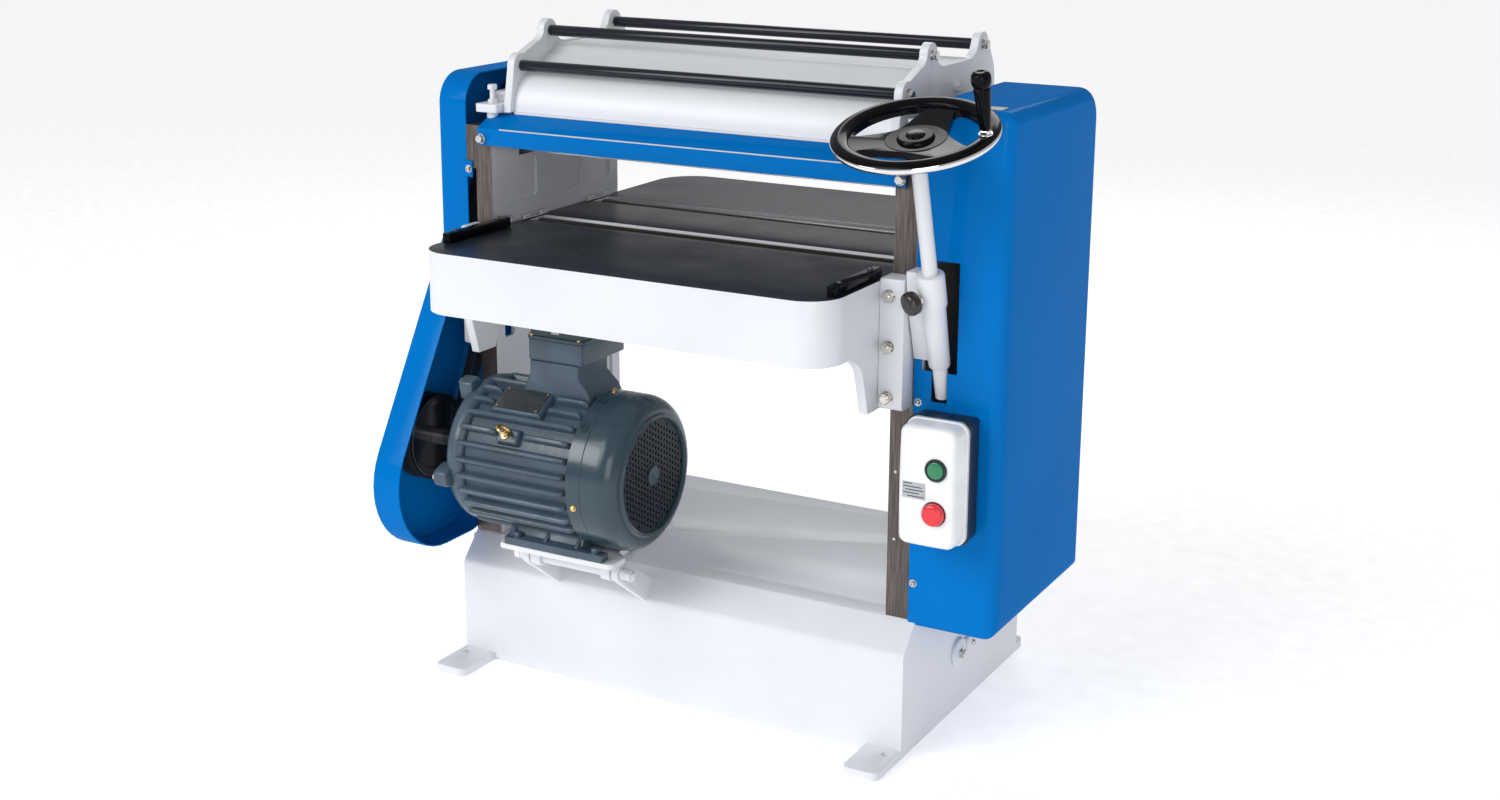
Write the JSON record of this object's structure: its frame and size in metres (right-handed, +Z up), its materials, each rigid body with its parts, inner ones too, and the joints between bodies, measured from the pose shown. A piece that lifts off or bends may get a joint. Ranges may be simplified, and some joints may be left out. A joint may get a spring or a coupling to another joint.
{
  "type": "thickness planer",
  "caption": "Floor-standing thickness planer with a rising table, belt-driven cutterblock, sprung feed rollers, handwheel height setting, hood with return rollers and a foot-mounted motor.",
  "frame": {"origin": "middle of the footprint's bounding box, on the floor", "axes": "+X to the operator's right as seen from the infeed side, +Y from the infeed side to the outfeed side, +Z up"},
  "size_m": [0.91, 0.7194, 0.9535],
  "materials": {
    "white_paint": "satin white machine paint",
    "blue_paint": "semi-gloss blue sheet-metal paint",
    "black_paint": "gloss black",
    "motor_paint": "blue-grey motor paint on cast ribs",
    "table_iron": "ground and darkened table iron",
    "machined_iron": "dark machined iron",
    "steel": "turned steel",
    "black_steel": "blackened bright steel",
    "rubber": "matt belt rubber",
    "black_plastic": "black moulded plastic",
    "green_plastic": "green push button",
    "red_plastic": "red push button"
  },
  "bodies": {
    "machine": {"base": "white_paint", "left_side_frame": "white_paint", "right_side_frame": "white_paint", "front_cross_cover": "blue_paint", "rear_cross_tie": "white_paint", "left_belt_guard": "blue_paint", "right_gear_cover": "blue_paint", "hood_left_plate": "white_paint", "hood_right_plate": "white_paint", "chip_cover_front": "white_paint", "chip_cover_rear": "white_paint", "cutterhead_bearing_left": "machined_iron", "cutterhead_bearing_right": "machined_iron", "feed_gearbox": "machined_iron", "feed_chain": "black_steel", "lift_chain": "black_steel", "shaft_bracket": "white_paint", "switch_box": "black_plastic", "switch_lid": "white_paint", "motor_hinge_rod": "steel", "drive_belt_1": "rubber", "drive_belt_2": "rubber"},
    "lift_table": {"table": "table_iron", "slide_plate_left": "white_paint", "slide_plate_right": "white_paint", "table_nut_left_front": "machined_iron", "table_nut_left_rear": "machined_iron", "table_nut_right_front": "machined_iron", "table_nut_right_rear": "machined_iron"},
    "front_table_roller": {"table_roller_front": "steel"},
    "rear_table_roller": {"table_roller_rear": "steel"},
    "screw_left_front": {"table_screw_left_front": "steel"},
    "screw_left_rear": {"table_screw_left_rear": "steel"},
    "screw_right_front": {"table_screw_right_front": "steel"},
    "screw_right_rear": {"table_screw_right_rear": "steel"},
    "wheel": {"handwheel": "black_paint", "handwheel_shaft": "steel"},
    "grip": {"handwheel_grip": "black_plastic"},
    "lock_knob": {"wheel_lock_knob": "black_plastic"},
    "motor_base": {"motor_plate": "white_paint", "motor_frame": "motor_paint", "motor_drive_shield": "motor_paint", "motor_fan_cover": "motor_paint", "terminal_box": "motor_paint"},
    "rotor": {"motor_rotor": "steel", "motor_pulley": "machined_iron"},
    "cutterblock": {"cutterhead": "steel", "cutterhead_pulley": "machined_iron"},
    "infeed_carrier": {"infeed_block_left": "machined_iron", "infeed_block_right": "machined_iron"},
    "infeed": {"infeed_roller": "steel"},
    "outfeed_carrier": {"outfeed_block_left": "machined_iron", "outfeed_block_right": "machined_iron"},
    "outfeed": {"outfeed_roller": "steel"},
    "front_return": {"return_roller_front": "black_steel"},
    "middle_return": {"return_roller_middle": "black_steel"},
    "rear_return": {"return_roller_rear": "black_steel"},
    "start": {"start_button": "green_plastic"},
    "stop": {"stop_button": "red_plastic"}
  },
  "joints": [
    {"name": "handwheel_spin", "type": "hinge", "parent": "machine", "child": "wheel", "pos_m": [0.349, -0.2533, 0.8527], "axis": [0, 0.289, -0.9573], "range_deg": [-2520, 5520]},
    {"name": "table_lift", "type": "slide", "parent": "machine", "child": "lift_table", "axis": [0, 0, 1], "range_m": [-0.0421, 0.0921]},
    {"name": "grip_spin", "type": "hinge", "parent": "wheel", "child": "grip", "pos_m": [0.442, -0.2598, 0.87424], "axis": [0, -0.289, 0.9573], "continuous": true},
    {"name": "lock_knob_turn", "type": "hinge", "parent": "machine", "child": "lock_knob", "pos_m": [0.349, -0.19267, 0.65188], "axis": [-0.4997, -0.8294, -0.2498], "range_deg": [-180, 90]},
    {"name": "screw_left_front_spin", "type": "hinge", "parent": "machine", "child": "screw_left_front", "pos_m": [-0.3965, -0.126, 0.45], "axis": [0, 0, 1], "range_deg": [-5045, 11045]},
    {"name": "screw_left_rear_spin", "type": "hinge", "parent": "machine", "child": "screw_left_rear", "pos_m": [-0.3965, 0.14, 0.45], "axis": [0, 0, 1], "range_deg": [-5045, 11045]},
    {"name": "screw_right_front_spin", "type": "hinge", "parent": "machine", "child": "screw_right_front", "pos_m": [0.3005, -0.126, 0.45], "axis": [0, 0, 1], "range_deg": [-5045, 11045]},
    {"name": "screw_right_rear_spin", "type": "hinge", "parent": "machine", "child": "screw_right_rear", "pos_m": [0.3005, 0.14, 0.45], "axis": [0, 0, 1], "range_deg": [-5045, 11045]},
    {"name": "front_table_roller_spin", "type": "hinge", "parent": "lift_table", "child": "front_table_roller", "pos_m": [-0.041, -0.0705, 0.6421], "axis": [1, 0, 0], "continuous": true},
    {"name": "rear_table_roller_spin", "type": "hinge", "parent": "lift_table", "child": "rear_table_roller", "pos_m": [-0.041, 0.102, 0.6421], "axis": [1, 0, 0], "continuous": true},
    {"name": "motor_tilt", "type": "hinge", "parent": "machine", "child": "motor_base", "pos_m": [-0.041, -0.26, 0.212], "axis": [1, 0, 0], "range_deg": [0, 2], "deforming": ["drive_belt_1", "drive_belt_2"]},
    {"name": "motor_spin", "type": "hinge", "parent": "motor_base", "child": "rotor", "pos_m": [-0.191, -0.23, 0.354], "axis": [1, 0, 0], "continuous": true},
    {"name": "cutterblock_spin", "type": "hinge", "parent": "machine", "child": "cutterblock", "pos_m": [-0.041, 0.016, 0.812], "axis": [1, 0, 0], "continuous": true},
    {"name": "infeed_float", "type": "slide", "parent": "machine", "child": "infeed_carrier", "axis": [0, 0, 1], "range_m": [0, 0.005], "stiffness_N_per_m": 20000, "springref_m": -0.004, "deforming": ["feed_chain"]},
    {"name": "infeed_spin", "type": "hinge", "parent": "infeed_carrier", "child": "infeed", "pos_m": [-0.041, -0.0705, 0.791], "axis": [1, 0, 0], "continuous": true},
    {"name": "outfeed_float", "type": "slide", "parent": "machine", "child": "outfeed_carrier", "axis": [0, 0, 1], "range_m": [0, 0.005], "stiffness_N_per_m": 20000, "springref_m": -0.004},
    {"name": "outfeed_spin", "type": "hinge", "parent": "outfeed_carrier", "child": "outfeed", "pos_m": [-0.041, 0.102, 0.791], "axis": [1, 0, 0], "continuous": true},
    {"name": "front_return_spin", "type": "hinge", "parent": "machine", "child": "front_return", "pos_m": [-0.041, -0.11, 0.892], "axis": [1, 0, 0], "continuous": true},
    {"name": "middle_return_spin", "type": "hinge", "parent": "machine", "child": "middle_return", "pos_m": [-0.041, -0.035, 0.936], "axis": [1, 0, 0], "continuous": true},
    {"name": "rear_return_spin", "type": "hinge", "parent": "machine", "child": "rear_return", "pos_m": [-0.041, 0.141, 0.934], "axis": [1, 0, 0], "continuous": true},
    {"name": "start_press", "type": "slide", "parent": "machine", "child": "start", "axis": [0, 1, 0], "range_m": [0, 0.004], "stiffness_N_per_m": 400, "springref_m": -0.004},
    {"name": "stop_press", "type": "slide", "parent": "machine", "child": "stop", "axis": [0, 1, 0], "range_m": [0, 0.006], "stiffness_N_per_m": 400, "springref_m": -0.004}
  ],
  "couplings": [
    {"joint": "table_lift", "follows": "handwheel_spin", "m_per_rad": 0.00095493},
    {"joint": "screw_left_front_spin", "follows": "handwheel_spin", "ratio": 2},
    {"joint": "screw_left_rear_spin", "follows": "handwheel_spin", "ratio": 2},
    {"joint": "screw_right_front_spin", "follows": "handwheel_spin", "ratio": 2},
    {"joint": "screw_right_rear_spin", "follows": "handwheel_spin", "ratio": 2},
    {"joint": "cutterblock_spin", "follows": "motor_spin", "ratio": 1.6104},
    {"joint": "outfeed_spin", "follows": "infeed_spin", "ratio": 1}
  ]
}
